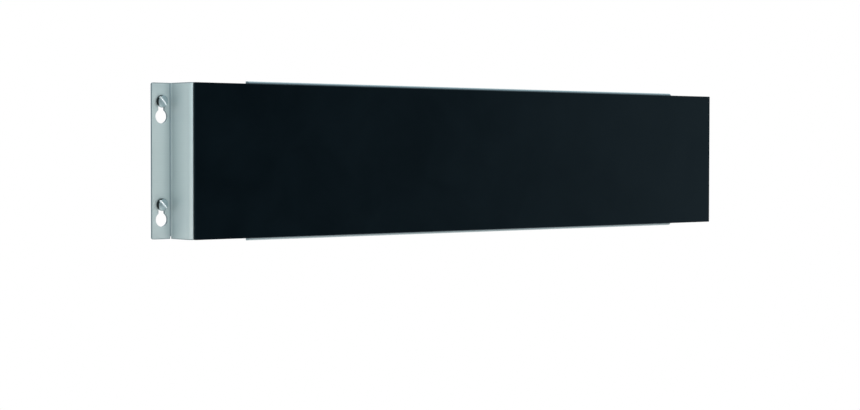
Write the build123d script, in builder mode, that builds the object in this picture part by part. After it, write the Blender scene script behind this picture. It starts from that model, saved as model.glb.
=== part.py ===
from build123d import *
import os

# Wall-mounted magnetic knife rack, in millimetres.
# +X runs along the rack to the right, +Y points into the wall and +Z is up.
# The origin is the middle of the four wall screws, in the plane of the wall (Y = 0).
# The rack hangs by keyholes on the screws and is drawn at rest, with the screws in the slots.

# Housing: one folded sheet, open at the back
RACK_LENGTH = 500.0        # over the two end walls
RACK_HEIGHT = 100.0
RACK_DEPTH = 26.5          # wall to the front of the face plate
RACK_Z = -5.1              # mid-height of the rack, below the middle of the screws
SHEET = 1.5
BEND = 0.8                 # inside radius of every fold
WALL_GAP = 0.1             # sliding clearance between the flanges and the wall
FLANGE_WIDTH = 14.4
FLANGE_CORNER = 1.2
NICK_WIDTH = 1.4           # bend relief at the foot of each flange fold
NICK_HEIGHT = 1.6

# Stiffening lips folded back along the top and bottom of the web
LIP_LENGTH = 409.0
LIP_PROUD = 1.6            # how far each lip stands above or below the face plate
LIP_DEPTH = 4.0            # front of the web to the lip's back edge
LIP_LAP = 1.0              # flat stretch of the lip profile that merges with the web
RELIEF_WIDTH = 2.0         # corner relief at each end of a lip
RELIEF_DEPTH = 1.5

# Keyholes and wall fixings
FIXING_SPACING_X = RACK_LENGTH + FLANGE_WIDTH    # screws on the flanges' centrelines
FIXING_SPACING_Z = 66.0
ENTRY_RADIUS = 4.5
SLOT_WIDTH = 4.7
ENTRY_DROP = 9.6           # entry hole centre below the screw at rest
STOP_GAP = 0.1             # play left where the slot's end rests on the screw
NECK_RADIUS = 1.75         # plain neck of the screw, where it passes through the flange
THREAD_RADIUS = 2.1        # over the thread, from the wall inwards
SCREW_LENGTH = 9.5         # under the head
SCREW_TIP = 2.5
SCREW_TIP_RADIUS = 0.3
HEAD_RADIUS = 4.0
HEAD_HEIGHT = 2.4
HEAD_ROUNDING = 1.0
HEAD_GAP = 0.15            # between the head and the flange, so that the rack slides
DRIVER_SLOT_WIDTH = 1.2
DRIVER_SLOT_DEPTH = 1.2
DRIVER_SLOT_ANGLES = {
    "left_upper": -47.0,
    "left_lower": -46.0,
    "right_upper": 18.0,
    "right_lower": 65.0,
}

# Face plate and the tapes that bond it
FACE_LENGTH = 497.0
FACE_THICKNESS = 2.0
FACE_CORNER = 0.6
FACE_EDGE = 0.3
TAPE_THICKNESS = 0.3
TAPE_LENGTH = 480.0
TAPE_WIDTH = 15.0
TAPE_HEIGHTS = (-40.0, -13.0, 13.0, 40.0)

# Magnet rows behind the web
ROW_LENGTH = 404.0
ROW_HEIGHT = 40.0
ROW_OFFSET = 25.5          # centre of each row from the rack's mid-height
ROW_CORNER = 3.0
MAGNET_LENGTH = 34.0
MAGNET_HEIGHT = 32.0
MAGNET_THICKNESS = 8.0
MAGNET_CHAMFER = 0.8
MAGNET_PLAY = 0.15
MAGNETS_PER_ROW = 10
MAGNET_PITCH = 36.6
MIDDLE_BOSS = 14.0         # solid stretch of tray round the middle stud
YOKE_HEIGHT = 38.0
YOKE_THICKNESS = 3.0

# Welded studs with their washers and nuts
STUD_X = (-197.0, 0.0, 197.0)
STUD_RADIUS = 2.0
STUD_FOOT_RADIUS = 2.75
STUD_FOOT_HEIGHT = 0.8
STUD_PROUD = 0.5           # stud end beyond the nut
STUD_HOLE = 2.25
FOOT_HOLE_RADIUS = 3.1
FOOT_HOLE_DEPTH = 1.0
WASHER_RADIUS = 4.5
WASHER_BORE = 2.15
WASHER_THICKNESS = 0.8
NUT_FLATS = 7.0
NUT_HEIGHT = 3.2
NUT_BORE = 2.03
NUT_FACE_RADIUS = 3.35
NUT_CONE_RADIUS = 4.3
NUT_CONE_DROP = 0.55

# Planes across the depth, from the wall forwards
FLANGE_BACK = -WALL_GAP
FLANGE_FRONT = FLANGE_BACK - SHEET
FACE_FRONT = -RACK_DEPTH
FACE_BACK = FACE_FRONT + FACE_THICKNESS
WEB_FRONT = FACE_BACK + TAPE_THICKNESS
WEB_BACK = WEB_FRONT + SHEET
MAGNET_BACK = WEB_BACK + MAGNET_THICKNESS
YOKE_BACK = MAGNET_BACK + YOKE_THICKNESS
WASHER_BACK = YOKE_BACK + WASHER_THICKNESS
NUT_BACK = WASHER_BACK + NUT_HEIGHT
STUD_END = NUT_BACK + STUD_PROUD
HEAD_BACK = FLANGE_FRONT - HEAD_GAP
HEAD_FRONT = HEAD_BACK - HEAD_HEIGHT
SCREW_END = HEAD_BACK + SCREW_LENGTH

# Other worked-out places
END_X = RACK_LENGTH / 2
FLANGE_END = END_X + FLANGE_WIDTH
RACK_BOTTOM = RACK_Z - RACK_HEIGHT / 2
OUTER_BEND = BEND + SHEET
LIP_OUTER = RACK_HEIGHT / 2 + LIP_PROUD
WEB_EDGE = LIP_OUTER - OUTER_BEND
LIP_BACK = WEB_FRONT + LIP_DEPTH
FIXINGS = {
    "left_upper": (-FIXING_SPACING_X / 2, FIXING_SPACING_Z / 2),
    "left_lower": (-FIXING_SPACING_X / 2, -FIXING_SPACING_Z / 2),
    "right_upper": (FIXING_SPACING_X / 2, FIXING_SPACING_Z / 2),
    "right_lower": (FIXING_SPACING_X / 2, -FIXING_SPACING_Z / 2),
}
ROWS = {"upper": RACK_Z + ROW_OFFSET, "lower": RACK_Z - ROW_OFFSET}
STUD_PLACES = [(x, z) for z in ROWS.values() for x in STUD_X]
LIFT = (ENTRY_DROP + ENTRY_RADIUS) - (NECK_RADIUS + STOP_GAP)


def facing_front(y):
    """Plane at depth y with its normal away from the wall; sketch X is +X and sketch Y is +Z."""
    return Plane((0, y, 0), x_dir=(1, 0, 0), z_dir=(0, -1, 0))


def magnet_centre(index):
    """X of a magnet in its row: five each side of the middle stud."""
    half = MAGNETS_PER_ROW // 2
    side = -1 if index < half else 1
    step = half - 1 - index if index < half else index - half
    return side * (MIDDLE_BOSS / 2 + MAGNET_PITCH * (step + 0.5))


def save(builder, name):
    """Label a finished piece and write it to its own file."""
    builder.part.label = name
    export_step(builder.part, f"parts/{name}.step")


os.makedirs("parts", exist_ok=True)

# Housing: web, two end walls and two wall flanges, folded from one sheet
front_skin = [
    (-FLANGE_END, FLANGE_FRONT), (-END_X, FLANGE_FRONT), (-END_X, WEB_FRONT),
    (END_X, WEB_FRONT), (END_X, FLANGE_FRONT), (FLANGE_END, FLANGE_FRONT),
]
INNER_X = END_X - SHEET
back_skin = [
    (-FLANGE_END, FLANGE_BACK), (-INNER_X, FLANGE_BACK), (-INNER_X, WEB_BACK),
    (INNER_X, WEB_BACK), (INNER_X, FLANGE_BACK), (FLANGE_END, FLANGE_BACK),
]
with BuildPart() as housing:
    with BuildSketch(Plane.XY.offset(RACK_BOTTOM)):
        with BuildLine():
            front = FilletPolyline(*front_skin, radius=[BEND, OUTER_BEND, OUTER_BEND, BEND])
            back = FilletPolyline(*back_skin, radius=[OUTER_BEND, BEND, BEND, OUTER_BEND])
            Line(front @ 0, back @ 0)
            Line(front @ 1, back @ 1)
        make_face()
    extrude(amount=RACK_HEIGHT)
    flange_corners = housing.edges().filter_by(Axis.Y).group_by(Axis.X)
    fillet(flange_corners[0] + flange_corners[-1], radius=FLANGE_CORNER)

    # Keyholes through the flanges: a round entry with a slot above it
    with BuildSketch(facing_front(0)):
        for x, z in FIXINGS.values():
            slot_top = z + NECK_RADIUS + STOP_GAP - SLOT_WIDTH / 2
            entry = z - ENTRY_DROP
            with Locations((x, entry)):
                Circle(ENTRY_RADIUS)
            with Locations((x, (entry + slot_top) / 2)):
                SlotCenterToCenter(slot_top - entry, SLOT_WIDTH, rotation=90)
    extrude(amount=2 * SHEET, mode=Mode.SUBTRACT)

    # Bend relief at the foot of each flange fold
    with BuildSketch(facing_front(0)):
        with Locations((-END_X, RACK_BOTTOM + NICK_HEIGHT / 2), (END_X, RACK_BOTTOM + NICK_HEIGHT / 2)):
            Rectangle(NICK_WIDTH, NICK_HEIGHT)
    extrude(amount=2 * SHEET, mode=Mode.SUBTRACT)

    # The web is cut back where the lips fold, with a relief at each end of a lip
    with BuildSketch(facing_front(0)):
        for side in (-1, 1):
            edge_cut = RACK_HEIGHT / 2 - WEB_EDGE
            with Locations((0, RACK_Z + side * (WEB_EDGE + edge_cut / 2))):
                Rectangle(LIP_LENGTH + 2 * RELIEF_WIDTH, edge_cut)
            relief = edge_cut + RELIEF_DEPTH
            relief_z = RACK_Z + side * (RACK_HEIGHT / 2 - relief / 2)
            relief_x = (LIP_LENGTH + RELIEF_WIDTH) / 2
            with Locations((-relief_x, relief_z), (relief_x, relief_z)):
                Rectangle(RELIEF_WIDTH, relief)
    extrude(amount=RACK_DEPTH, mode=Mode.SUBTRACT)

    # Lips folded back along the top and bottom
    with BuildSketch(Plane.YZ.offset(-LIP_LENGTH / 2)):
        for side in (-1, 1):
            root = RACK_Z + side * (WEB_EDGE - LIP_LAP)
            outer = RACK_Z + side * LIP_OUTER
            inner = RACK_Z + side * (LIP_OUTER - SHEET)
            with BuildLine():
                outside = FilletPolyline(
                    (WEB_FRONT, root), (WEB_FRONT, outer), (LIP_BACK, outer), radius=OUTER_BEND)
                inside = FilletPolyline(
                    (WEB_BACK, root), (WEB_BACK, inner), (LIP_BACK, inner), radius=BEND)
                Line(outside @ 0, inside @ 0)
                Line(outside @ 1, inside @ 1)
            make_face()
    extrude(amount=LIP_LENGTH)
save(housing, "housing")

# Black face plate, with eased corners and front edges
with BuildPart() as face_plate:
    with BuildSketch(facing_front(FACE_BACK)):
        with Locations((0, RACK_Z)):
            RectangleRounded(FACE_LENGTH, RACK_HEIGHT, FACE_CORNER)
    extrude(amount=FACE_THICKNESS)
    chamfer(face_plate.faces().sort_by(Axis.Y)[0].edges(), length=FACE_EDGE)
save(face_plate, "face_plate")

# Double-sided tapes between the face plate and the web
with BuildPart() as bonding_tapes:
    with BuildSketch(facing_front(WEB_FRONT)):
        with Locations([(0, RACK_Z + height) for height in TAPE_HEIGHTS]):
            Rectangle(TAPE_LENGTH, TAPE_WIDTH)
    extrude(amount=TAPE_THICKNESS)
save(bonding_tapes, "bonding_tapes")


def make_tray(row_z, name):
    """Plastic tray with a pocket for each magnet and a hole for each stud."""
    with BuildPart() as tray:
        with BuildSketch(facing_front(MAGNET_BACK)):
            with Locations((0, row_z)):
                RectangleRounded(ROW_LENGTH, ROW_HEIGHT, ROW_CORNER)
            with Locations([(magnet_centre(i), row_z) for i in range(MAGNETS_PER_ROW)]):
                Rectangle(MAGNET_LENGTH + 2 * MAGNET_PLAY, MAGNET_HEIGHT + 2 * MAGNET_PLAY,
                          mode=Mode.SUBTRACT)
            with Locations([(x, row_z) for x in STUD_X]):
                Circle(STUD_HOLE, mode=Mode.SUBTRACT)
        extrude(amount=MAGNET_THICKNESS)
        with BuildSketch(facing_front(WEB_BACK + FOOT_HOLE_DEPTH)):
            with Locations([(x, row_z) for x in STUD_X]):
                Circle(FOOT_HOLE_RADIUS)
        extrude(amount=FOOT_HOLE_DEPTH, mode=Mode.SUBTRACT)
    save(tray, name)


def make_magnet(row_z, x, name):
    """Ferrite block with chamfered edges."""
    with BuildPart() as magnet:
        with BuildSketch(facing_front(MAGNET_BACK)):
            with Locations((x, row_z)):
                Rectangle(MAGNET_LENGTH, MAGNET_HEIGHT)
        extrude(amount=MAGNET_THICKNESS)
        chamfer(magnet.edges(), length=MAGNET_CHAMFER)
    save(magnet, name)


def make_yoke(row_z, name):
    """Steel strip that closes the magnets' backs and is clamped by the stud nuts."""
    with BuildPart() as yoke:
        with BuildSketch(facing_front(YOKE_BACK)):
            with Locations((0, row_z)):
                RectangleRounded(ROW_LENGTH, YOKE_HEIGHT, ROW_CORNER)
            with Locations([(x, row_z) for x in STUD_X]):
                Circle(STUD_HOLE, mode=Mode.SUBTRACT)
        extrude(amount=YOKE_THICKNESS)
    save(yoke, name)


for row, row_z in ROWS.items():
    make_tray(row_z, f"magnet_tray_{row}")
    make_yoke(row_z, f"yoke_strip_{row}")
    for i in range(MAGNETS_PER_ROW):
        make_magnet(row_z, magnet_centre(i), f"magnet_{row}_{i + 1:02d}")

# Studs welded to the back of the web
with BuildPart() as weld_studs:
    with BuildSketch(facing_front(WEB_BACK + STUD_FOOT_HEIGHT)):
        with Locations(STUD_PLACES):
            Circle(STUD_FOOT_RADIUS)
    extrude(amount=STUD_FOOT_HEIGHT)
    with BuildSketch(facing_front(STUD_END)):
        with Locations(STUD_PLACES):
            Circle(STUD_RADIUS)
    extrude(amount=STUD_END - WEB_BACK)
save(weld_studs, "weld_studs")

# Washers on the yoke strips
with BuildPart() as stud_washers:
    with BuildSketch(facing_front(WASHER_BACK)):
        with Locations(STUD_PLACES):
            Circle(WASHER_RADIUS)
            Circle(WASHER_BORE, mode=Mode.SUBTRACT)
    extrude(amount=WASHER_THICKNESS)
save(stud_washers, "stud_washers")

# Hexagon nuts, with the corners of their outer face turned off in a cone
with BuildPart() as stud_nuts:
    with BuildSketch(facing_front(NUT_BACK)):
        with Locations(STUD_PLACES):
            RegularPolygon(NUT_FLATS / 2, 6, major_radius=False)
            Circle(NUT_BORE, mode=Mode.SUBTRACT)
    extrude(amount=NUT_HEIGHT)
    for x, z in STUD_PLACES:
        with BuildSketch(Plane.XY.offset(z)):
            with BuildLine():
                Polyline(
                    (x + NUT_FACE_RADIUS, NUT_BACK), (x + NUT_CONE_RADIUS, NUT_BACK),
                    (x + NUT_CONE_RADIUS, NUT_BACK - NUT_CONE_DROP), close=True)
            make_face()
        revolve(axis=Axis((x, 0, z), (0, 1, 0)), mode=Mode.SUBTRACT)
save(stud_nuts, "stud_nuts")


def make_screw(x, z, slot_angle, name):
    """Slotted pan-head wall screw along +Y, drawn as a half section and spun about its axis."""
    head_flat = x + HEAD_RADIUS - HEAD_ROUNDING
    head_side = HEAD_FRONT + HEAD_ROUNDING
    with BuildPart() as screw:
        with BuildSketch(Plane.XY.offset(z)):
            with BuildLine():
                Line((x, HEAD_FRONT), (head_flat, HEAD_FRONT))
                RadiusArc((head_flat, HEAD_FRONT), (x + HEAD_RADIUS, head_side), HEAD_ROUNDING)
                Polyline(
                    (x + HEAD_RADIUS, head_side), (x + HEAD_RADIUS, HEAD_BACK),
                    (x + NECK_RADIUS, HEAD_BACK), (x + NECK_RADIUS, 0), (x + THREAD_RADIUS, 0),
                    (x + THREAD_RADIUS, SCREW_END - SCREW_TIP), (x + SCREW_TIP_RADIUS, SCREW_END),
                    (x, SCREW_END), (x, HEAD_FRONT))
            make_face()
        revolve(axis=Axis((x, 0, z), (0, 1, 0)))
        with BuildSketch(facing_front(HEAD_FRONT + DRIVER_SLOT_DEPTH)):
            with Locations((x, z)):
                Rectangle(3 * HEAD_RADIUS, DRIVER_SLOT_WIDTH, rotation=slot_angle)
        extrude(amount=2 * DRIVER_SLOT_DEPTH, mode=Mode.SUBTRACT)
    save(screw, name)


for place, (x, z) in FIXINGS.items():
    make_screw(x, z, DRIVER_SLOT_ANGLES[place], f"wall_screw_{place}")

print("lift range", round(LIFT, 3), "mm")
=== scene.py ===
import math

import bmesh
import bpy
from mathutils import Matrix, Vector


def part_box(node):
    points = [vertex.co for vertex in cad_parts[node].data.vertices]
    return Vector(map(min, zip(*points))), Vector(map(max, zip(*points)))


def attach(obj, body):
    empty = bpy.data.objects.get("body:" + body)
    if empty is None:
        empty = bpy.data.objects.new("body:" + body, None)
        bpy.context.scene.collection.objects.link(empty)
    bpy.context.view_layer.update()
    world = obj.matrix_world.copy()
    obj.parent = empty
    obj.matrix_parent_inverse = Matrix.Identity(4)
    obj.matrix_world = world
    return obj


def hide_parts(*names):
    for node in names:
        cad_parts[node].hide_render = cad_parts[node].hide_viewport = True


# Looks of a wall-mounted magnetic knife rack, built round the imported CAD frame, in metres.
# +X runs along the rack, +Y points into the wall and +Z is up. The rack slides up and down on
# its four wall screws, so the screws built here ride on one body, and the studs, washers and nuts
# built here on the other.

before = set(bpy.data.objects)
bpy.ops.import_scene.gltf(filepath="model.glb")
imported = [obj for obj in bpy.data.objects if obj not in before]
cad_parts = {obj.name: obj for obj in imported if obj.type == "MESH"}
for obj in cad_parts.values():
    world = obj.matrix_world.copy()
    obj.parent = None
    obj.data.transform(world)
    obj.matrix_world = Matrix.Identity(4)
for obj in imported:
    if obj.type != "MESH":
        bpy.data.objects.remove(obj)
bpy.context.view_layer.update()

MM = 0.001
RACK = "rack"
SCREWS = "wall_screws"
SCREW_PLACES = ("left_upper", "left_lower", "right_upper", "right_lower")
ROWS = ("upper", "lower")
MAGNETS_PER_ROW = 10

# Camera: where it stands in metres, how it is turned in degrees, and its lens in millimetres
CAMERA_PLACE = (-0.9616, -1.0560, 0.0030)
CAMERA_YAW = 41.52
CAMERA_PITCH = -1.64
CAMERA_ROLL = 0.08
CAMERA_LENS = 82.30
SENSOR_WIDTH = 36.0

# Stage: the rack hangs at about chest height over a round pale floor
FLOOR_DROP = 1.2
FLOOR_RADIUS = 6.0
FLOOR_SIDES = 96

# Studio light round the rack: its cool tint, and how strong it is at the lower and the upper height
STUDIO_TINT = (0.80, 1.0, 1.06, 1.0)
STUDIO_RISE = (-0.5, 0.5, 0.95, 1.12)

# Dark patches in the studio: azimuth, elevation, inner and outer half-angle in degrees, and how dark
SHADES = (
    (-CAMERA_YAW, 4.0, 6.0, 18.0, 0.7),
    (22.0, 0.0, 12.0, 36.0, 0.97),
    (-115.0, 0.0, 35.0, 75.0, 0.46),
)

# Lamps: name, azimuth, elevation, distance, width, watts, and whether they show in reflections.
# The key light stands where the screws' driver slots send it back to the camera.
SOFTBOXES = (
    ("overhead", 20.0, 75.0, 2.6, 2.4, 60.0, False),
    ("key", 3.0, -36.0, 2.0, 0.6, 4.0, True),
)

# Procedural noise mostly lies between these values
NOISE_RANGE = (0.3, 0.7)

# Edges of the CAD pieces are eased by this much
SHEET_EASE = 0.14 * MM
PLATE_EASE = 0.12 * MM
MOULDED_EASE = 0.3 * MM
JOIN_WITHIN = 0.001 * MM

# Folded sheet, in millimetres: its thickness, the flanges' width, and half the length of the return
# lips with the notches at their ends
SHEET = 1.5
FLANGE_WIDTH = 14.4
LIP_ZONE = 207.0

# Tones of the folded sheet, each (from, to, depth there, depth there), with places in millimetres.
# Most are painted shade round the folds, edges and lips, and one is a painted highlight along a fold;
# the flanges' cut faces are also darker in their own colour. A depth of 0 leaves the sheet as it is
# and 1 makes it black. "Forward" runs from the flange along the end wall, and "out" from the end wall
# along the flange.
FLANGE_END = (0.3, 0.6, 1.0, 0.0)     # forward: where the flange stops and the end wall starts
FOLD_SHADE_LINE = (0.9, 1.5, 0.55, 0.0)     # out: painted shade, a dark line along the fold
FLANGE_SHADE = (0.5, 6.5, 0.14, 0.0)   # out: painted shade on the flange towards the fold
END_SHADE = (37.0, 50.0, 0.0, 0.13)    # up or down from the rack's middle: painted shade at the flange's top and bottom ends
WALL_SHADE = (0.5, 16.0, 0.24, 0.0)    # forward: painted shade on the end wall towards the fold
PAINTED_LIGHT_PLACE = 1.0                    # forward: where the painted highlight line runs along the fold
PAINTED_LIGHT_LINE = (0.4, 0.8, 0.26, 0.0)   # away from PAINTED_LIGHT_PLACE; this painted highlight lightens
# Cut edges: a band of painted shade beside the long edges, and the flanges' cut faces partly darker in their
# own colour, partly painted shade
CUT_BAND = (-0.7, -0.2)               # past the face plate's long edge, beyond the lips: painted shade beside the edges
CUT_START = 2.0                       # out: where the flange's own cut edges may be
CUT_FACING = (0.5, 0.7, 1.0, 0.0)     # how far a surface faces forward: cut edges don't
CUT_DEPTH = 0.65
LIP_SHADE = (-0.1, 1.5, 0.92, 0.35)    # past the face plate's long edge: painted shade on the lips, darkest beside the plate
LIP_SHADE_SHIFT = 0.3                       # painted shade: the upper lip darker as if its fade lay this much higher
SHADE_TINT = (1.12, 0.92)             # powers of red and blue that make the painted shade cooler

# Wall screws: tapping screws with a slotted pan head and a plain neck
SLOT_ANGLES = {"left_upper": -47.0, "left_lower": -46.0, "right_upper": 18.0, "right_lower": 65.0}
SLOT_WIDTH = 1.2 * MM
SLOT_DEPTH = 0.75 * MM
HEAD_HEIGHT = 2.4 * MM
HEAD_CROWN = 0.3 * MM
HEAD_FLAT = 3.0 * MM
HEAD_EASE = 0.12 * MM
CROWN_STEPS = 6
FLANK_STEPS = 7
FLANK_START = 80.0
NECK_RADIUS = 1.75 * MM
NECK_END = -0.2 * MM
CORE_START = 0.3 * MM
THREAD_START = 0.6 * MM
SCREW_CORE = 1.5 * MM
SCREW_THREAD = 2.1 * MM
SCREW_PITCH = 1.4 * MM
SCREW_TIP = 2.5 * MM
SCREW_POINT = 0.08
ROUND_STEPS = 48

# Painted shade on the screw heads: the side it darkens (the upper left), and how far forward of the wall
# it starts, in millimetres
SHADED_SIDE = (-0.90, 0.0, 0.44)
HEAD_SHADE_START = -1.7

# Threads: half-width of the ridge and its height at the end, as shares of the pitch and the ridge
RIDGE_HALF = 0.34
RIDGE_END = 0.25

# Fasteners behind the rack: M4 studs, washers and nuts
STUD_CORE = 1.62 * MM
STUD_THREAD = 2.0 * MM
STUD_PITCH = 0.7 * MM
STUD_FOOT_HEIGHT = 0.8 * MM
STUD_FOOT_RADIUS = 2.75 * MM
NUT_FLATS = 7.0 * MM
NUT_BORE = 2.03 * MM
NUT_FACE_RADIUS = 3.35 * MM
NUT_CONE = 30.0
NUT_SINK = 0.3 * MM
NUT_EASE = 0.06 * MM
WASHER_BORE = 2.15 * MM
WASHER_ROLL = 0.25 * MM
WASHER_CRISP = 0.08 * MM
YOKE_INSET = 5.0 * MM


# ---------------------------------------------------------------- node helper


class Graph:
    """The node tree of a material or world, with one short call for each kind of node used here."""

    def __init__(self, owner):
        owner.use_nodes = True
        self.tree = owner.node_tree
        self.tree.nodes.clear()

    def node(self, kind, **settings):
        made = self.tree.nodes.new(kind)
        for name, value in settings.items():
            setattr(made, name, value)
        return made

    def put(self, socket, value):
        """Links value to the socket when it comes from a node, and otherwise sets it there."""
        if isinstance(value, bpy.types.NodeSocket):
            self.tree.links.new(value, socket)
        elif value is not None:
            socket.default_value = value

    def math(self, operation, a, b=None):
        made = self.node("ShaderNodeMath", operation=operation)
        self.put(made.inputs[0], a)
        self.put(made.inputs[1], b)
        return made.outputs[0]

    def away(self, value, centre):
        """Distance from a centre, on either side of it."""
        return self.math("ABSOLUTE", self.math("SUBTRACT", value, centre))

    def weigh(self, a, share, b):
        """A share of a and the rest of b."""
        return self.math("ADD", self.math("MULTIPLY", a, share), self.math("MULTIPLY", b, 1.0 - share))

    def vector(self, operation, a, b=None):
        made = self.node("ShaderNodeVectorMath", operation=operation)
        self.put(made.inputs[0], a)
        self.put(made.inputs[1], b)
        return made.outputs["Value" if operation in ("DOT_PRODUCT", "LENGTH") else "Vector"]

    def join(self, x, y, z):
        made = self.node("ShaderNodeCombineXYZ")
        for socket, value in zip(made.inputs, (x, y, z)):
            self.put(socket, value)
        return made.outputs[0]

    def split(self, vector):
        made = self.node("ShaderNodeSeparateXYZ")
        self.put(made.inputs[0], vector)
        return made.outputs

    def place(self):
        """The point's own place in the row frame, in millimetres."""
        made = self.node("ShaderNodeTexCoord")
        return self.vector("MULTIPLY", made.outputs["Object"], (1000, 1000, 1000))

    def normal(self):
        return self.node("ShaderNodeTexCoord").outputs["Normal"]

    def noise(self, vector, scale, detail=2.0, rough=0.5, distortion=0.0):
        made = self.node("ShaderNodeTexNoise")
        self.put(made.inputs["Vector"], vector)
        self.put(made.inputs["Scale"], scale)
        self.put(made.inputs["Detail"], detail)
        self.put(made.inputs["Roughness"], rough)
        self.put(made.inputs["Distortion"], distortion)
        return made.outputs["Fac"]

    def spread(self, value, low, high, to_low=0.0, to_high=1.0, smooth=False):
        """Maps low..high to to_low..to_high, clamped, in a straight line or a smooth step."""
        made = self.node("ShaderNodeMapRange", clamp=True)
        made.interpolation_type = "SMOOTHSTEP" if smooth else "LINEAR"
        self.put(made.inputs[0], value)
        for socket, number in zip(made.inputs[1:5], (low, high, to_low, to_high)):
            socket.default_value = number
        return made.outputs[0]

    def between(self, noise, low, high):
        """Maps the usual range of a noise to low..high."""
        return self.spread(noise, *NOISE_RANGE, low, high)

    def colours(self, factor, stops):
        """A colour that runs through the stops, each (position, (red, green, blue))."""
        made = self.node("ShaderNodeValToRGB")
        ramp = made.color_ramp
        while len(ramp.elements) < len(stops):
            ramp.elements.new(0.5)
        for element, (position, colour) in zip(ramp.elements, stops):
            element.position = position
            element.color = (*colour, 1.0)
        self.put(made.inputs[0], factor)
        return made.outputs[0]

    def bump(self, height, distance, under=None):
        made = self.node("ShaderNodeBump")
        made.inputs["Distance"].default_value = distance
        self.put(made.inputs["Height"], height)
        self.put(made.inputs["Normal"], under)
        return made.outputs[0]

    def surface(self, colour, roughness, normal=None, tangent=None, **constants):
        """The shader and its output. Constants are set on the shader's own sockets."""
        shader = self.node("ShaderNodeBsdfPrincipled")
        self.put(shader.inputs["Base Color"], colour)
        self.put(shader.inputs["Roughness"], roughness)
        self.put(shader.inputs["Normal"], normal)
        self.put(shader.inputs["Tangent"], tangent)
        for name, value in constants.items():
            shader.inputs[name.replace("_", " ")].default_value = value
        output = self.node("ShaderNodeOutputMaterial")
        self.tree.links.new(shader.outputs[0], output.inputs["Surface"])


def material(name):
    made = bpy.data.materials.new(name)
    return made, Graph(made)


# ---------------------------------------------------------------- materials


def sheet_grain(graph):
    """Distances along and across the grain of the folded sheet, and the way highlights stretch.

    The sheet was brushed lengthwise before folding, so the grain runs along X on the web, flanges
    and lips, and along Y on the end walls. The highlight stretches across the grain."""
    x, y, z = graph.split(graph.place())
    facing_up = graph.math("ABSOLUTE", graph.split(graph.normal())[2])
    on_lip = graph.math("GREATER_THAN", facing_up, 0.7)
    on_wall = graph.math("SUBTRACT", 1.0, on_lip)
    across = graph.math("ADD", graph.math("MULTIPLY", y, on_lip), graph.math("MULTIPLY", z, on_wall))
    return graph.math("ADD", x, y), across, graph.join(0.0, on_lip, on_wall)


def painted_fold_shade(graph, height, forward, out):
    """Painted shade near the sheet's end folds: a dark line along the fold and broader shade on both sides of
    it.
    """
    on_flange = graph.spread(forward, *FLANGE_END)
    on_wall = graph.math("SUBTRACT", 1.0, on_flange)
    line = graph.math("MULTIPLY", graph.spread(out, *FOLD_SHADE_LINE), on_flange)
    flange_painted_shade = graph.math("ADD", graph.spread(out, *FLANGE_SHADE, smooth=True),
                             graph.spread(height, *END_SHADE, smooth=True))
    wall_painted_shade = graph.spread(forward, *WALL_SHADE)
    broad_shade = graph.math("ADD", graph.math("MULTIPLY", flange_painted_shade, on_flange),
                      graph.math("MULTIPLY", wall_painted_shade, on_wall))
    return graph.math("MAXIMUM", line, broad_shade)


def cut_edge_dark_and_shade(graph, side, beyond, out):
    """How dark the cut edges are: a band of painted shade beside the face plate's edge, and the flanges' own
    cut faces, partly their own duller colour and partly painted shade.
    """
    past_lips = graph.math("GREATER_THAN", side, LIP_ZONE)
    in_band = graph.math("MULTIPLY", graph.spread(beyond, *CUT_BAND), past_lips)
    facing = graph.math("ABSOLUTE", graph.split(graph.normal())[1])
    on_cut = graph.math("MULTIPLY", graph.math("GREATER_THAN", out, CUT_START),
                        graph.spread(facing, *CUT_FACING))
    return graph.math("MULTIPLY", graph.math("MAXIMUM", in_band, on_cut), CUT_DEPTH)


def sheet_shade(graph):
    """Painted brightness of the folded sheet by place: 1 where open, painted shade near its folds, lips and
    edges, a painted highlight along one fold.
    """
    low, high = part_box("housing")
    plate_low, plate_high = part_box("face_plate")
    fold_x = high.x / MM - FLANGE_WIDTH
    fold_y = high.y / MM - SHEET
    middle = (low.z + high.z) / 2 / MM
    half_plate = (plate_high.z - plate_low.z) / 2 / MM
    x, y, z = graph.split(graph.place())
    side = graph.math("ABSOLUTE", x)
    height = graph.away(z, middle)
    out = graph.math("MAXIMUM", graph.math("SUBTRACT", side, fold_x), 0.0)
    forward = graph.math("MAXIMUM", graph.math("SUBTRACT", fold_y, y), 0.0)

    # Painted shade near the folds, beside the edges and on the lips; the cut faces are partly their own
    # darker colour
    folds = painted_fold_shade(graph, height, forward, out)
    edges = cut_edge_dark_and_shade(graph, side, graph.math("SUBTRACT", height, half_plate), out)
    # Painted shade on the lips: darker beside the face plate, and darker on the upper lip than the lower
    lip_beyond = graph.math("SUBTRACT", graph.away(z, middle + LIP_SHADE_SHIFT), half_plate)
    on_lip = graph.math("MULTIPLY", graph.math("LESS_THAN", side, LIP_ZONE),
                        graph.math("GREATER_THAN", forward, 0.0))
    lips = graph.math("MULTIPLY", graph.spread(lip_beyond, *LIP_SHADE), on_lip)
    darkest = graph.math("MAXIMUM", edges, graph.math("MAXIMUM", folds, lips))
    # Painted highlight: a light line along the end wall just forward of the fold
    painted_light = graph.spread(graph.away(forward, PAINTED_LIGHT_PLACE), *PAINTED_LIGHT_LINE)
    return graph.math("ADD", graph.math("SUBTRACT", 1.0, darkest), painted_light)


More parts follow.
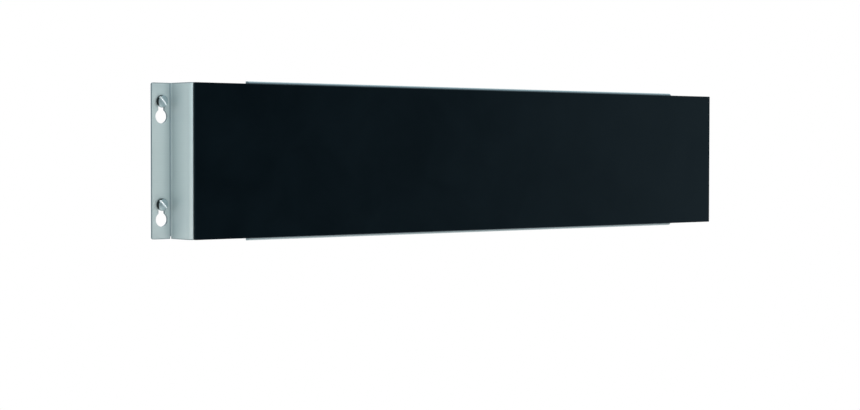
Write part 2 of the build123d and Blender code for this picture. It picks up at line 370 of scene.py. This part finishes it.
def stainless_sheet():
    """Satin stainless: long brushed streaks, fine hairlines and faint clouds from handling.

    It is partly diffuse, for the flat satin look of sheet that has been brushed and handled. Its colour also
    carries the painted shade and painted highlight of sheet_shade."""
    made, graph = material("stainless_sheet_satin")
    along, across, tangent = sheet_grain(graph)
    streak_place = graph.join(graph.math("MULTIPLY", along, 0.03), graph.math("MULTIPLY", across, 1.4), 0.0)
    streaks = graph.noise(streak_place, 1.0, detail=5.0, rough=0.65)
    hair_place = graph.join(graph.math("MULTIPLY", along, 0.15), graph.math("MULTIPLY", across, 9.0), 3.0)
    hairlines = graph.noise(hair_place, 1.0, detail=3.0, rough=0.6)
    clouds = graph.noise(graph.place(), 0.035, detail=3.0, rough=0.55)
    grain = graph.weigh(streaks, 0.7, hairlines)
    tone = graph.weigh(grain, 0.6, clouds)
    colour = graph.colours(tone, [(0.3, (0.685, 0.725, 0.712)), (0.7, (0.755, 0.795, 0.785))])
    # Painted shade and highlight: sheet_shade's brightness, with its shade made cooler, multiplied into the
    # colour
    shade = sheet_shade(graph)
    red, blue = (graph.math("POWER", shade, power) for power in SHADE_TINT)
    colour = graph.vector("MULTIPLY", colour, graph.join(red, shade, blue))
    rough = graph.between(tone, 0.46, 0.58)
    graph.surface(colour, rough, graph.bump(grain, 0.006 * MM), tangent, Metallic=0.6, Anisotropic=0.6)
    return made


def black_face():
    """Satin black plate: even fine grain, hairline scratches left by blades and faint smudges."""
    made, graph = material("black_face_satin")
    place = graph.place()
    grain = graph.noise(place, 5.0, detail=3.0, rough=0.6)
    smudges = graph.noise(place, 0.02, detail=4.0, rough=0.6, distortion=0.6)
    x, _, z = graph.split(place)
    hair_place = graph.join(graph.math("MULTIPLY", x, 2.2), 0.0, graph.math("MULTIPLY", z, 0.03))
    hairs = graph.noise(hair_place, 1.0, detail=4.0, rough=0.7, distortion=0.15)
    scratches = graph.spread(hairs, 0.66, 0.74)
    colour = graph.colours(smudges, [(0.3, (0.0004, 0.0006, 0.0009)), (0.7, (0.0007, 0.0011, 0.0015))])
    evenness = graph.math("ADD", graph.between(smudges, 0.28, 0.36), graph.math("MULTIPLY", grain, 0.05))
    rough = graph.math("SUBTRACT", evenness, graph.math("MULTIPLY", scratches, 0.06))
    normal = graph.bump(grain, 0.003 * MM, graph.bump(scratches, 0.002 * MM))
    graph.surface(colour, rough, normal, Specular_IOR_Level=0.18, Specular_Tint=(0.23, 0.68, 1.0, 1.0))
    return made


def tape():
    """Grey acrylic foam tape, with fine open cells on its cut edges."""
    made, graph = material("acrylic_foam_tape")
    cells = graph.noise(graph.place(), 9.0, detail=2.0, rough=0.6)
    colour = graph.colours(cells, [(0.35, (0.06, 0.062, 0.065)), (0.65, (0.11, 0.113, 0.118))])
    graph.surface(colour, graph.between(cells, 0.75, 0.9), graph.bump(cells, 0.03 * MM))
    return made


def tray_plastic():
    """Grey moulded plastic: spark-eroded texture and slight flow marks along the tray."""
    made, graph = material("moulded_tray")
    place = graph.place()
    texture = graph.noise(place, 3.5, detail=3.0, rough=0.6)
    flow = graph.noise(graph.vector("MULTIPLY", place, (0.03, 0.2, 0.2)), 1.0, detail=3.0, distortion=1.2)
    colour = graph.colours(flow, [(0.3, (0.036, 0.040, 0.043)), (0.7, (0.050, 0.054, 0.058))])
    graph.surface(colour, graph.between(texture, 0.48, 0.64), graph.bump(texture, 0.02 * MM))
    return made


def ferrite():
    """Sintered ferrite: charcoal grey and granular, with brighter ground streaks."""
    made, graph = material("sintered_ferrite")
    place = graph.place()
    grains = graph.noise(place, 6.0, detail=4.0, rough=0.7)
    ground = graph.noise(graph.vector("MULTIPLY", place, (0.1, 1.0, 3.0)), 1.0, detail=3.0)
    tone = graph.weigh(grains, 0.6, ground)
    colour = graph.colours(tone, [(0.35, (0.022, 0.022, 0.024)), (0.65, (0.052, 0.052, 0.055))])
    graph.surface(colour, graph.between(tone, 0.6, 0.8), graph.bump(grains, 0.02 * MM))
    return made


def yoke_steel():
    """Cold-rolled steel strip: rolling lines, oily clouds and a few darker handling stains."""
    made, graph = material("cold_rolled_strip")
    place = graph.place()
    lines = graph.noise(graph.vector("MULTIPLY", place, (0.02, 1.0, 2.6)), 1.0, detail=5.0, rough=0.65)
    clouds = graph.noise(place, 0.05, detail=4.0, rough=0.6, distortion=0.8)
    stains = graph.spread(graph.noise(place, 0.11, detail=5.0, rough=0.7), 0.60, 0.72, smooth=True)
    tone = graph.weigh(lines, 0.5, clouds)
    tone = graph.math("SUBTRACT", tone, graph.math("MULTIPLY", stains, 0.12))
    colour = graph.colours(tone, [(0.3, (0.27, 0.285, 0.30)), (0.5, (0.40, 0.415, 0.43)),
                                  (0.7, (0.47, 0.48, 0.485))])
    graph.surface(colour, graph.between(tone, 0.50, 0.34), graph.bump(lines, 0.008 * MM), Metallic=1.0)
    return made


def zinc_plate():
    """Bright zinc plating: bluish, faintly iridescent, with a fine crystalline sparkle."""
    made, graph = material("zinc_plating")
    place = graph.place()
    hue = graph.noise(place, 0.35, detail=3.0, distortion=0.7)
    crystals = graph.noise(place, 8.0, detail=3.0, rough=0.6)
    colour = graph.colours(hue, [(0.30, (0.52, 0.57, 0.66)), (0.5, (0.62, 0.65, 0.68)),
                                 (0.70, (0.67, 0.66, 0.58))])
    graph.surface(colour, graph.between(crystals, 0.24, 0.38), graph.bump(crystals, 0.006 * MM), Metallic=1.0)
    return made


def stud_steel(web_back):
    """Stainless stud, straw and blue with heat at the welded foot, which is at depth web_back."""
    made, graph = material("welded_stud_steel")
    place = graph.place()
    depth = graph.split(place)[1]
    fine = graph.noise(place, 4.0, detail=3.0)
    heat_reach = 4.0
    heat = graph.spread(depth, web_back / MM, web_back / MM + heat_reach)
    heat = graph.math("ADD", heat, graph.math("MULTIPLY", fine, 0.2))
    colour = graph.colours(heat, [(0.1, (0.20, 0.22, 0.34)), (0.3, (0.45, 0.34, 0.24)),
                                  (0.55, (0.62, 0.57, 0.46)), (0.9, (0.60, 0.61, 0.61))])
    graph.surface(colour, graph.between(fine, 0.26, 0.38), graph.bump(fine, 0.004 * MM), Metallic=1.0)
    return made


def screw_steel():
    """Plated screw steel: bright and slightly mottled, with painted shade on the upper left of the heads and
    on the sides.
    """
    made, graph = material("screw_plating")
    place = graph.place()
    normal = graph.normal()
    mottle = graph.noise(place, 0.9, detail=4.0, rough=0.6, distortion=0.5)
    fine = graph.noise(place, 7.0, detail=2.0)
    colour = graph.colours(mottle, [(0.3, (0.46, 0.54, 0.56)), (0.7, (0.59, 0.66, 0.68))])
    # Painted shade: the heads darker on their upper left side, with a ragged edge
    turned = graph.vector("DOT_PRODUCT", normal, SHADED_SIDE)
    ragged = graph.math("ADD", turned, graph.math("MULTIPLY", mottle, 0.2))
    on_head = graph.math("LESS_THAN", graph.split(place)[1], HEAD_SHADE_START)
    head_shade = graph.math("MULTIPLY", graph.spread(ragged, 0.30, 0.55, 0.0, 0.94), on_head)
    # Painted shade: surfaces facing sideways, such as the heads' flanks, darker than those facing forward
    rim = graph.spread(graph.math("ABSOLUTE", graph.split(normal)[1]), 0.55, 0.92, 0.8, 1.0)
    unshaded = graph.math("MULTIPLY", graph.math("SUBTRACT", 1.0, head_shade), rim)
    colour = graph.vector("MULTIPLY", colour, graph.join(unshaded, unshaded, unshaded))
    graph.surface(colour, graph.between(mottle, 0.38, 0.48), graph.bump(fine, 0.004 * MM), Metallic=1.0)
    return made


def cut_steel():
    """The driver slot, milled bright: fine cutter lines along it and small chatter marks."""
    made, graph = material("milled_slot_steel")
    place = graph.place()
    lines = graph.noise(graph.vector("MULTIPLY", place, (1.0, 14.0, 1.0)), 1.0, detail=3.0)
    chatter = graph.noise(place, 3.0, detail=2.0, rough=0.6)
    colour = graph.colours(chatter, [(0.3, (0.84, 0.87, 0.88)), (0.7, (0.93, 0.95, 0.96))])
    graph.surface(colour, graph.between(lines, 0.20, 0.32), graph.bump(lines, 0.004 * MM), Metallic=1.0)
    return made


def pale_floor():
    """Pale matt floor that fades to plain white light at its rim, so that it has no hard edge."""
    made, graph = material("pale_floor")
    spot = graph.node("ShaderNodeTexCoord").outputs["Object"]
    reach = graph.vector("LENGTH", graph.vector("MULTIPLY", spot, (1, 1, 0)))
    rim = graph.spread(reach, 0.4 * FLOOR_RADIUS, 0.98 * FLOOR_RADIUS, smooth=True)
    speckle = graph.noise(graph.place(), 0.01, detail=3.0)
    matt = graph.node("ShaderNodeBsdfDiffuse")
    colour = graph.colours(speckle, [(0.3, (0.79, 0.71, 0.68)), (0.7, (0.83, 0.74, 0.71))])
    graph.put(matt.inputs["Color"], colour)
    glow = graph.node("ShaderNodeEmission")
    glow.inputs["Strength"].default_value = 1.0
    blend = graph.node("ShaderNodeMixShader")
    graph.put(blend.inputs[0], rim)
    graph.put(blend.inputs[1], matt.outputs[0])
    graph.put(blend.inputs[2], glow.outputs[0])
    output = graph.node("ShaderNodeOutputMaterial")
    graph.put(output.inputs["Surface"], blend.outputs[0])
    return made


# ---------------------------------------------------------------- mesh builders


def mesh_piece(name, bm, materials, body, smooth_angle=35.0):
    """A finished piece from bmesh data in the row frame, riding on a CAD body."""
    bmesh.ops.recalc_face_normals(bm, faces=bm.faces)
    mesh = bpy.data.meshes.new(name)
    bm.to_mesh(mesh)
    bm.free()
    for one in materials:
        mesh.materials.append(one)
    mesh.shade_smooth()
    mesh.set_sharp_from_angle(angle=math.radians(smooth_angle))
    piece = bpy.data.objects.new(name, mesh)
    bpy.context.scene.collection.objects.link(piece)
    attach(piece, body)
    return piece


def loft(bm, centre, rings, closed=False):
    """Faces between rings about the Y axis through centre.

    Each ring is (depth, radii), with one radius for each step round. An open loft ends in caps."""
    made = []
    for depth, radii in rings:
        ring = []
        for step, radius in enumerate(radii):
            turn = 2 * math.pi * step / len(radii)
            x = centre.x + radius * math.cos(turn)
            z = centre.z + radius * math.sin(turn)
            ring.append(bm.verts.new((x, depth, z)))
        made.append(ring)
    count = len(made[0])
    pairs = list(zip(made, made[1:]))
    if closed:
        pairs.append((made[-1], made[0]))
    for first, second in pairs:
        for step in range(count):
            after = (step + 1) % count
            bm.faces.new((first[step], first[after], second[after], second[step]))
    if not closed:
        bm.faces.new(made[0])
        bm.faces.new(made[-1])


def plain(depth, radius):
    """A round ring of a loft."""
    return depth, [radius] * ROUND_STEPS


def arc_rings(centre_depth, centre_radius, radius, start, end, steps):
    """Rings along an arc of a turned profile. Angles are in degrees from outwards to forwards."""
    rings = []
    for step in range(steps + 1):
        angle = math.radians(start + (end - start) * step / steps)
        rings.append(plain(centre_depth - radius * math.sin(angle), centre_radius + radius * math.cos(angle)))
    return rings


def thread_rings(start, end, core, crest, pitch, steps_per_turn=10, taper=None):
    """Rings of a thread along +Y: a V ridge that climbs one pitch each turn.

    The ridge fades in over the first turn and out over the last. taper(depth) scales the whole."""
    count = max(2, round((end - start) / pitch * steps_per_turn))
    rings = []
    for index in range(count + 1):
        depth = start + (end - start) * index / count
        fade = min(1.0, (depth - start) / pitch, RIDGE_END + (end - depth) / pitch)
        scale = taper(depth) if taper else 1.0
        radii = []
        for step in range(ROUND_STEPS):
            phase = ((depth - start) / pitch - step / ROUND_STEPS) % 1.0
            ridge = max(0.0, 1.0 - abs(phase - 0.5) / RIDGE_HALF)
            radii.append(scale * (core + (crest - core) * ridge * fade))
        rings.append((depth, radii))
    return rings


def box_mesh(name, size, place, turn):
    """A plain block, used only as a cutter and then deleted."""
    bm = bmesh.new()
    bmesh.ops.create_cube(bm, size=1.0)
    stretch = Matrix.Diagonal((*size, 1.0))
    bmesh.ops.transform(bm, matrix=Matrix.Translation(place) @ turn @ stretch, verts=bm.verts)
    mesh = bpy.data.meshes.new(name)
    bm.to_mesh(mesh)
    bm.free()
    block = bpy.data.objects.new(name, mesh)
    bpy.context.scene.collection.objects.link(block)
    return block


def cut(piece, cutter, cut_material):
    """Takes the cutter's shape out of the piece. The new faces get cut_material."""
    cutter.data.materials.append(cut_material)
    step = piece.modifiers.new("cut", "BOOLEAN")
    step.object = cutter
    step.solver = "EXACT"
    step.material_mode = "TRANSFER"
    bpy.context.view_layer.update()
    evaluated = piece.evaluated_get(bpy.context.evaluated_depsgraph_get())
    result = bpy.data.meshes.new_from_object(evaluated)
    piece.modifiers.clear()
    old = piece.data
    result.name = old.name
    piece.data = result
    bpy.data.meshes.remove(old)
    bpy.data.objects.remove(cutter)


def ease_edges(piece, width, segments=2, angle=35.0):
    """Rounds the sharp edges of a piece with modifiers, which leave its own mesh alone."""
    weld = piece.modifiers.new("join_faces", "WELD")
    weld.merge_threshold = JOIN_WITHIN
    bevel = piece.modifiers.new("ease_edges", "BEVEL")
    bevel.width = width
    bevel.segments = segments
    bevel.limit_method = "ANGLE"
    bevel.angle_limit = math.radians(angle)
    bevel.harden_normals = True
    bevel.use_clamp_overlap = True


# ---------------------------------------------------------------- pieces


def dress_cad(node, finish, ease=None):
    """Gives a CAD node its finish and eased edges. Its shape and place stay the frame's."""
    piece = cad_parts[node]
    for slot in piece.material_slots:
        slot.material = finish
    if ease:
        ease_edges(piece, ease)


def wall_screw(place, finish, slot_finish):
    """One slotted pan-head wall screw, with its head's front at the CAD screw's front."""
    node = f"wall_screw_{place}"
    low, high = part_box(node)
    centre = (low + high) / 2
    head_radius = (high.x - low.x) / 2
    front = low.y
    back = front + HEAD_HEIGHT
    rounding = head_radius - HEAD_FLAT
    tip_start = high.y - SCREW_TIP
    rings = []
    for step in range(1, CROWN_STEPS + 1):
        share = step / CROWN_STEPS
        rings.append(plain(front + HEAD_CROWN * share ** 2, HEAD_FLAT * share))
    rings += arc_rings(front + HEAD_CROWN + rounding, HEAD_FLAT, rounding, FLANK_START, 0.0, FLANK_STEPS)
    rings += [
        plain(back - HEAD_EASE, head_radius), plain(back, head_radius - HEAD_EASE),
        plain(back, NECK_RADIUS + HEAD_EASE), plain(back + HEAD_EASE, NECK_RADIUS),
        plain(NECK_END, NECK_RADIUS), plain(CORE_START, SCREW_CORE)]

    def sharpen(depth):
        return 1.0 if depth < tip_start else max(SCREW_POINT, (high.y - depth) / SCREW_TIP)

    rings += thread_rings(THREAD_START, high.y, SCREW_CORE, SCREW_THREAD, SCREW_PITCH, 12, sharpen)
    bm = bmesh.new()
    loft(bm, centre, rings)
    piece = mesh_piece(f"screw_{place}", bm, [finish, slot_finish], SCREWS, 40.0)
    angle = math.radians(SLOT_ANGLES[place])
    size = (3 * head_radius, 2 * SLOT_DEPTH, SLOT_WIDTH)
    slot_place = Vector((centre.x, front, centre.z))
    cutter = box_mesh("slot_cutter", size, slot_place, Matrix.Rotation(-angle, 4, "Y"))
    cut(piece, cutter, slot_finish)
    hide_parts(node)


def stud_places():
    """The axis of each stud, from the CAD yokes' boxes: the middle and a little in from each end."""
    places = []
    for row in ROWS:
        low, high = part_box(f"yoke_strip_{row}")
        middle = (low.z + high.z) / 2
        for x in (low.x + YOKE_INSET, (low.x + high.x) / 2, high.x - YOKE_INSET):
            places.append(Vector((x, 0.0, middle)))
    return places


def studs(finish):
    """Threaded studs, each with the welded collar at its foot."""
    low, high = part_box("weld_studs")
    chamfer = 0.35 * MM
    foot_end = low.y + STUD_FOOT_HEIGHT
    bm = bmesh.new()
    for centre in stud_places():
        rings = [
            plain(low.y, STUD_FOOT_RADIUS), plain(foot_end - chamfer, STUD_FOOT_RADIUS),
            plain(foot_end, STUD_FOOT_RADIUS - chamfer), plain(foot_end + 0.1 * MM, STUD_CORE)]
        rings += thread_rings(foot_end + 0.3 * MM, high.y - chamfer, STUD_CORE, STUD_THREAD, STUD_PITCH, 8)
        rings.append(plain(high.y, STUD_CORE - chamfer))
        loft(bm, centre, rings)
    piece = mesh_piece("threaded_studs", bm, [finish], RACK, 40.0)
    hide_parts("weld_studs")


def washers(finish):
    """Stamped washers: rolled edges on the side towards the nut and sharper ones on the other."""
    low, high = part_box("stud_washers")
    places = stud_places()
    outer = high.x - max(place.x for place in places)
    crisp = WASHER_CRISP
    rolled = [(WASHER_ROLL * (1 - math.sin(turn)), WASHER_ROLL * (1 - math.cos(turn)))
              for turn in (math.radians(90.0 * step / 4) for step in range(5))]
    bm = bmesh.new()
    for centre in places:
        rings = [plain(low.y, WASHER_BORE + crisp), plain(low.y, outer - crisp), plain(low.y + crisp, outer)]
        rings += [plain(high.y - down, outer - across) for down, across in rolled]
        rings += [plain(high.y - across, WASHER_BORE + down) for down, across in rolled]
        rings.append(plain(low.y + crisp, WASHER_BORE))
        loft(bm, centre, rings, closed=True)
    piece = mesh_piece("stamped_washers", bm, [finish], RACK)
    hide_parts("stud_washers")


def hex_radius(step, steps, flats):
    """Distance from the axis to a hexagon's side at one of the steps round it."""
    turn = 2 * math.pi * step / steps
    within = (turn + math.pi / 6) % (math.pi / 3) - math.pi / 6
    return flats / 2 / math.cos(within)


def nuts(finish):
    """Hexagon nuts, turned down to a cone at both ends, with a countersunk bore."""
    low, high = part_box("stud_nuts")
    steps = 2 * ROUND_STEPS
    slope = math.tan(math.radians(NUT_CONE))
    sides = [hex_radius(step, steps, NUT_FLATS) for step in range(steps)]
    drops = [max(0.0, side - NUT_FACE_RADIUS) * slope for side in sides]
    bm = bmesh.new()
    for centre in stud_places():
        ring = []
        for step in range(steps):
            turn = 2 * math.pi * step / steps
            out = Vector((math.cos(turn), 0.0, math.sin(turn)))
            side = sides[step]
            face = min(side, NUT_FACE_RADIUS)
            stations = [
                (low.y + NUT_SINK, NUT_BORE), (low.y, NUT_BORE + NUT_SINK), (low.y, face - NUT_EASE),
                (low.y + drops[step] + NUT_EASE, side), (high.y - drops[step] - NUT_EASE, side),
                (high.y, face - NUT_EASE), (high.y, NUT_BORE + NUT_SINK), (high.y - NUT_SINK, NUT_BORE)]
            ring.append([bm.verts.new(centre + out * radius + Vector((0.0, depth, 0.0)))
                         for depth, radius in stations])
        for step in range(steps):
            here = ring[step]
            after = ring[(step + 1) % steps]
            for index in range(len(here)):
                follow = (index + 1) % len(here)
                bm.faces.new((here[index], after[index], after[follow], here[follow]))
    piece = mesh_piece("hex_nuts", bm, [finish], RACK, 25.0)
    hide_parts("stud_nuts")


# ---------------------------------------------------------------- stage, light and camera


def floor():
    """A round floor below the rack."""
    bm = bmesh.new()
    bmesh.ops.create_circle(bm, cap_ends=True, segments=FLOOR_SIDES, radius=FLOOR_RADIUS)
    mesh = bpy.data.meshes.new("floor")
    bm.to_mesh(mesh)
    bm.free()
    mesh.materials.append(pale_floor())
    made = bpy.data.objects.new("floor", mesh)
    made.location.z = -FLOOR_DROP
    bpy.context.scene.collection.objects.link(made)


def toward(azimuth, elevation):
    """Unit direction to a place round the rack: azimuth 0 is in front of it and 90 to its right."""
    a = math.radians(azimuth)
    e = math.radians(elevation)
    return (math.sin(a) * math.cos(e), -math.cos(a) * math.cos(e), math.sin(e))


def lobe(graph, direction, azimuth, elevation, inner, outer):
    """1 within inner degrees of a direction, falling smoothly to 0 at outer degrees."""
    facing = graph.vector("DOT_PRODUCT", direction, toward(azimuth, elevation))
    return graph.spread(facing, math.cos(math.radians(outer)), math.cos(math.radians(inner)), smooth=True)


def studio():
    """Soft studio light all round, with dark patches. The camera itself sees plain white."""
    world = bpy.data.worlds.new("studio")
    bpy.context.scene.world = world
    graph = Graph(world)
    direction = graph.node("ShaderNodeTexCoord").outputs["Generated"]
    height = graph.split(direction)[2]
    light = graph.spread(height, *STUDIO_RISE, smooth=True)
    for azimuth, elevation, inner, outer, depth in SHADES:
        shade = graph.math("MULTIPLY", lobe(graph, direction, azimuth, elevation, inner, outer), depth)
        light = graph.math("MULTIPLY", light, graph.math("SUBTRACT", 1.0, shade))
    soft = graph.node("ShaderNodeBackground")
    graph.put(soft.inputs["Color"], STUDIO_TINT)
    graph.put(soft.inputs["Strength"], light)
    backdrop = graph.node("ShaderNodeBackground")
    graph.put(backdrop.inputs["Color"], (1.0, 1.0, 1.0, 1.0))
    backdrop.inputs["Strength"].default_value = 1.0
    blend = graph.node("ShaderNodeMixShader")
    graph.put(blend.inputs[0], graph.node("ShaderNodeLightPath").outputs["Is Camera Ray"])
    graph.put(blend.inputs[1], soft.outputs[0])
    graph.put(blend.inputs[2], backdrop.outputs[0])
    output = graph.node("ShaderNodeOutputWorld")
    graph.put(output.inputs["Surface"], blend.outputs[0])


def softbox(name, azimuth, elevation, distance, size, watts, in_reflections):
    """A round area light aimed at the rack."""
    lamp = bpy.data.lights.new(name, "AREA")
    lamp.shape = "DISK"
    lamp.size = size
    lamp.energy = watts
    made = bpy.data.objects.new(name, lamp)
    place = Vector(toward(azimuth, elevation)) * distance
    made.location = place
    made.rotation_euler = (-place).to_track_quat("-Z", "Y").to_euler()
    made.visible_camera = False
    made.visible_glossy = in_reflections
    bpy.context.scene.collection.objects.link(made)


def camera():
    """The photo's camera."""
    yaw = math.radians(CAMERA_YAW)
    pitch = math.radians(CAMERA_PITCH)
    roll = math.radians(CAMERA_ROLL)
    ahead = Vector((math.sin(yaw) * math.cos(pitch), math.cos(yaw) * math.cos(pitch), math.sin(pitch)))
    level = Vector((math.cos(yaw), -math.sin(yaw), 0.0))
    right = level * math.cos(roll) + level.cross(ahead) * math.sin(roll)
    up = right.cross(ahead)
    lens = bpy.data.cameras.new("camera")
    lens.lens = CAMERA_LENS
    lens.sensor_width = SENSOR_WIDTH
    made = bpy.data.objects.new("camera", lens)
    turn = Matrix((right, up, -ahead)).transposed().to_4x4()
    made.matrix_world = Matrix.Translation(CAMERA_PLACE) @ turn
    bpy.context.scene.collection.objects.link(made)
    bpy.context.scene.camera = made


# ---------------------------------------------------------------- put together


def main():
    """The stage, the dressed CAD pieces, and the pieces that stand for CAD ones."""
    camera()
    studio()
    for box in SOFTBOXES:
        softbox(*box)
    floor()

    dress_cad("housing", stainless_sheet(), SHEET_EASE)
    dress_cad("face_plate", black_face(), PLATE_EASE)
    dress_cad("bonding_tapes", tape())
    plastic = tray_plastic()
    strip = yoke_steel()
    block = ferrite()
    for row in ROWS:
        dress_cad(f"magnet_tray_{row}", plastic, MOULDED_EASE)
        dress_cad(f"yoke_strip_{row}", strip, MOULDED_EASE)
        for index in range(1, MAGNETS_PER_ROW + 1):
            dress_cad(f"magnet_{row}_{index:02d}", block, PLATE_EASE)

    plating = zinc_plate()
    studs(stud_steel(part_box("weld_studs")[0].y))
    washers(plating)
    nuts(plating)
    plated = screw_steel()
    bright = cut_steel()
    for place in SCREW_PLACES:
        wall_screw(place, plated, bright)

    bpy.context.scene.view_settings.view_transform = "Standard"


main()
